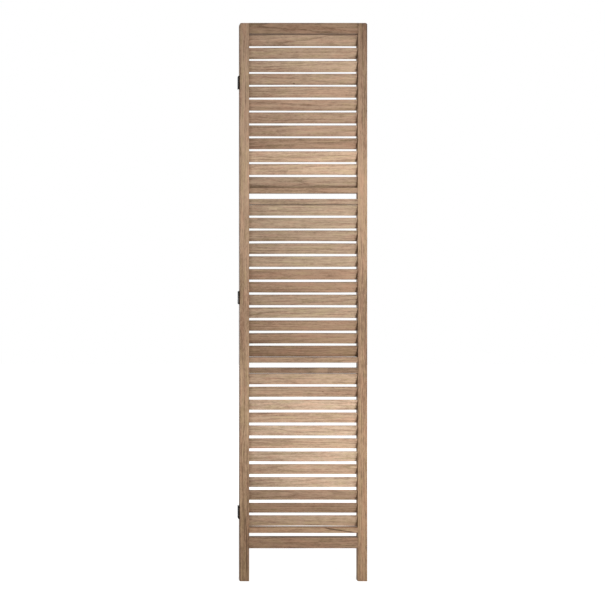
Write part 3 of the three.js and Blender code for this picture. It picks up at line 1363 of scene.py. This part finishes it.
SLAT_LOOKS = {
    "top": (
        SlatLook(Tone.FAWN, Cut.ARCHED, crook=0.3, drift=(-0.08, 0.02, 0.03, -0.02)),
        SlatLook(Tone.FAWN, Cut.SLANTED, crook=0.7, bow=0.6, drift=(-0.04, -0.01, 0.0, 0.01)),
        SlatLook(Tone.SAND, crook=-0.4, drift=(-0.09, -0.01, 0.02, 0.06)),
        SlatLook(Tone.FAWN, Cut.SLANTED, bow=-0.6, knots=(Knot(-28, -12),)),
        SlatLook(Tone.FAWN, crook=0.5),
        SlatLook(Tone.HAZEL, Cut.SLANTED, crook=-0.6, bow=0.5, drift=(-0.01, 0.01, -0.01, -0.03)),
        SlatLook(Tone.HAZEL, crook=0.2, veins=(Vein(-160, 150, -7, 0.008, 1.6, 0.16),)),
        SlatLook(Tone.HAZEL, Cut.ARCHED, crook=-0.3, knots=(Knot(92, -13, 1.1),)),
        SlatLook(Tone.BARK, Cut.SLANTED, crook=0.5, bow=-0.5),
        SlatLook(Tone.HONEY, crook=-0.2, veins=(Vein(-130, 168, -2, 0.022, 1.5, 0.26),)),
        SlatLook(Tone.HONEY, Cut.ARCHED, crook=0.4),
        SlatLook(Tone.DRAB, Cut.ARCHED, crook=-0.3, veins=(Vein(-60, 120, -12, 0.11, 1.5, 0.20),)),
    ),
    "middle": (
        SlatLook(Tone.ASH, crook=0.3, patches=(Patch(-95, 6, 13, 3.8, 0.13),)),
        SlatLook(Tone.ASH, Cut.SLANTED, crook=-0.5, veins=(Vein(-40, 166, 9, -0.05, 1.3, 0.18),)),
        SlatLook(Tone.DRAB, crook=0.4, bow=0.5),
        SlatLook(Tone.DRAB, crook=0.6),
        SlatLook(Tone.ASH, Cut.SLANTED, crook=-0.2),
        SlatLook(Tone.BARK, Cut.ARCHED, crook=0.3, bow=-0.6),
        SlatLook(Tone.BARK, crook=-0.5),
        SlatLook(Tone.DRAB, Cut.SLANTED, crook=0.2, veins=(Vein(-20, 168, -2, 0.03, 1.2, 0.16),)),
        SlatLook(Tone.ASH, Cut.SLANTED, crook=0.5, veins=(Vein(-165, 160, 2, -0.028, 1.6, 0.26),)),
        SlatLook(Tone.BARK, crook=-0.3, bow=0.4, drift=(-0.10, 0.0, 0.01, 0.0)),
        SlatLook(Tone.BARK, Cut.SLANTED, crook=0.6, drift=(-0.08, -0.02, 0.04, 0.0),
                 veins=(Vein(-166, -60, -14, 0.0, 1.8, 0.24),)),
        SlatLook(Tone.UMBER, crook=-0.2, spare=2.4),
    ),
    "bottom": (
        SlatLook(Tone.SAND, Cut.ARCHED, crook=0.1, spare=2.2),
        SlatLook(Tone.FAWN, crook=0.5, drift=(0.0, 0.02, -0.02, -0.06), knots=(Knot(62, 3, 1.2),)),
        SlatLook(Tone.OAT, Cut.ARCHED, crook=-0.4, bow=0.5),
        SlatLook(Tone.HONEY, Cut.SLANTED, crook=0.4),
        SlatLook(Tone.OAT, Cut.SLANTED, crook=-0.2, veins=(Vein(-50, 168, -8, 0.05, 1.6, 0.28),)),
        SlatLook(Tone.HONEY, crook=0.7),
        SlatLook(Tone.OAT, Cut.SLANTED, crook=-0.5, bow=-0.5),
        SlatLook(Tone.HONEY, Cut.ARCHED, crook=0.4),
        SlatLook(Tone.OAT, Cut.SLANTED, crook=-0.3, drift=(-0.12, 0.02, 0.04, 0.02),
                 veins=(Vein(90, 150, 12, 0.06, 2.4, 0.26),)),
        SlatLook(Tone.HAZEL, Cut.ARCHED, crook=0.5),
        SlatLook(Tone.BARK, crook=0.2, drift=(0.0, 0.0, -0.02, -0.03)),
        SlatLook(Tone.SAND, Cut.SLANTED, hollow=1.8, spare=3.6),
    ),
}


# ---- studio


@dataclass(frozen=True)
class Lamp:
    """A soft rectangular light that faces the panel's middle line: where it stands, its width
    and height, and its power in watts."""

    name: str
    place: Vector
    size: tuple[float, float]
    power: float

    def build(self) -> None:
        """Stands the light in its place, unseen by the camera."""
        data = bpy.data.lights.new(self.name, "AREA")
        data.shape = "RECTANGLE"
        data.size, data.size_y = self.size
        data.energy = self.power
        lamp = bpy.data.objects.new(self.name, data)
        lamp.location = self.place
        aim = Vector((0, 0, self.place.z)) - self.place
        lamp.rotation_euler = aim.to_track_quat("-Z", "Y").to_euler()
        lamp.visible_camera = False
        bpy.context.scene.collection.objects.link(lamp)


LAMPS = (
    Lamp("key", Vector((-0.8, -2.3, 0.8)), (0.5, 1.56), 13),
    Lamp("strip", Vector((0.5, -0.8, 0.85)), (0.15, 1.66), 12.5),
    Lamp("rear", Vector((-1.6, 2.6, 0.7)), (1.8, 1.2), 38),
)


@dataclass
class Studio:
    """The pale floor, the soft light and the camera.

    The camera stands as far off as the photograph's was, a little to the left of the panel
    and just above its middle, and looks straight ahead. Its shift brings the panel back into
    the middle of the picture.
    """

    picture_width: float = 1895.5 * MM
    picture_centre: Vector = field(default_factory=lambda: Vector((-3.2 * MM, -10 * MM, 873.8 * MM)))
    distance: float = 2.95
    aside: float = -0.6
    height: float = 0.90
    sensor: float = 36.0
    floor_half: float = 9.0
    floor_drop: float = 0.2 * MM
    floor_shade: float = 0.45
    glow: tuple[float, float] = (0.84, 1.0)
    glow_reach: tuple[float, float] = (0.5, 1.6)
    sky: float = 0.27
    sky_colour: Numbers = (1.0, 0.985, 0.965, 1.0)

    def camera(self) -> None:
        """Adds the camera."""
        data = bpy.data.cameras.new("camera")
        data.sensor_width = self.sensor
        data.lens = self.sensor * self.distance / self.picture_width
        data.shift_x = (self.picture_centre.x - self.aside) / self.picture_width
        data.shift_y = (self.picture_centre.z - self.height) / self.picture_width
        camera = bpy.data.objects.new("camera", data)
        camera.location = (self.aside, self.picture_centre.y - self.distance, self.height)
        camera.rotation_euler = (math.radians(90), 0, 0)
        bpy.context.scene.collection.objects.link(camera)
        bpy.context.scene.camera = camera

    def seen_directly(self, desk: NodeDesk) -> object:
        """Tells rays that show a surface itself from rays that carry its light.

        Args:
            desk: the nodes to add to.

        Returns:
            The socket of 1 for rays from the camera, from a gloss or through glass, and else of 0.
        """
        path = desk.node("ShaderNodeLightPath", {}).outputs
        either = desk.math("MAXIMUM", path["Is Camera Ray"], path["Is Glossy Ray"])
        return desk.math("MAXIMUM", either, path["Is Transmission Ray"])

    def backdrop(self) -> None:
        """Lights the scene softly from all round, and shows it as plain white."""
        world = bpy.data.worlds.new("studio")
        bpy.context.scene.world = world
        desk = NodeDesk(world, cleared=True)
        light = desk.node("ShaderNodeBackground", {"Color": self.sky_colour, "Strength": self.sky})
        white = desk.node("ShaderNodeBackground", {"Color": (1.0, 1.0, 1.0, 1.0)})
        feeds = {0: self.seen_directly(desk), 1: light.outputs[0], 2: white.outputs[0]}
        mix = desk.node("ShaderNodeMixShader", feeds)
        desk.node("ShaderNodeOutputWorld", {"Surface": mix.outputs[0]})

    def floor(self) -> None:
        """Lays the pale floor, which keeps the panel's soft shadow."""
        bpy.ops.object.select_all(action="DESELECT")
        bpy.ops.mesh.primitive_plane_add(size=2 * self.floor_half, location=(0, 0, -self.floor_drop))
        floor = take("floor")
        desk = NodeDesk(bpy.data.materials.new("pale_floor"), cleared=True)
        matt = desk.node("ShaderNodeBsdfDiffuse", {"Color": (*[self.floor_shade] * 3, 1.0)})
        spot = desk.node("ShaderNodeTexCoord", {}).outputs["Object"]
        away = desk.node("ShaderNodeVectorMath", {0: spot}, operation="LENGTH").outputs["Value"]
        rise = desk.fade(away, *self.glow_reach, *self.glow)
        glow = desk.node("ShaderNodeEmission", {"Strength": desk.product(self.seen_directly(desk), rise)})
        both = desk.node("ShaderNodeAddShader", {0: matt.outputs[0], 1: glow.outputs[0]})
        desk.node("ShaderNodeOutputMaterial", {"Surface": both.outputs[0]})
        floor.data.materials.append(desk.owner)

    def build(self) -> None:
        """Sets up the whole studio."""
        bpy.context.scene.view_settings.view_transform = "Standard"
        self.camera()
        self.backdrop()
        self.floor()
        for lamp in LAMPS:
            lamp.build()


# ---- the panel


@dataclass
class DividerPanel:
    """The whole leaf of the screen: stiles, rails, slats and hinges."""

    sizes: PanelSizes
    hinge_names: tuple[str, ...] = ("top", "middle", "bottom")
    ring: float = 6.5

    def bed(self, node: str, upright: bool) -> Bed:
        """Where a frame board's own axes lie.

        Args:
            node: the board's node.
            upright: whether its length runs along Z.

        Returns:
            Its bed, for the wood's pattern.
        """
        low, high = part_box(node)
        centre = middle_of(node)
        rise = (high.z - low.z) / 2 / MM
        if upright:
            return Bed(centre, (0, -math.pi / 2, 0), rise, (high.x - low.x) / 2 / MM)
        return Bed(centre, (0, 0, 0), self.sizes.inner / MM, rise)

    def build(self) -> None:
        """Makes every piece of the panel."""
        joinery = Joinery()
        hinge = ButtHinge()
        holes = [ends for name in self.hinge_names for ends in hinge.screws(name).values()]
        for draw, (side, look) in enumerate(STILE_LOOKS.items(), 1):
            stile = Stile(side, self.sizes, joinery, holes if side is Side.LEFT else [])
            bed = self.bed(stile.name, True)
            # the stiles' darker arrises are painted shade, partly stain
            stile.build(StainedWood(look, bed, draw, self.ring, edge_stain_and_shade=0.14, contrast=1.25, warmth=1.0))
        for draw, (name, look) in enumerate(RAIL_LOOKS.items(), 11):
            wood = StainedWood(look, self.bed(name, False), draw, self.ring, contrast=1.2)
            Rail(name, self.sizes, joinery).build(wood)
        SlatSet(self.sizes).build(SLAT_LOOKS)
        hinge.build(self.hinge_names)


def main() -> None:
    """Builds the studio and the panel."""
    logging.basicConfig(level=logging.INFO, format="%(message)s")
    Studio().build()
    DividerPanel(PanelSizes.from_frame()).build()


if __name__ == "__main__":
    main()
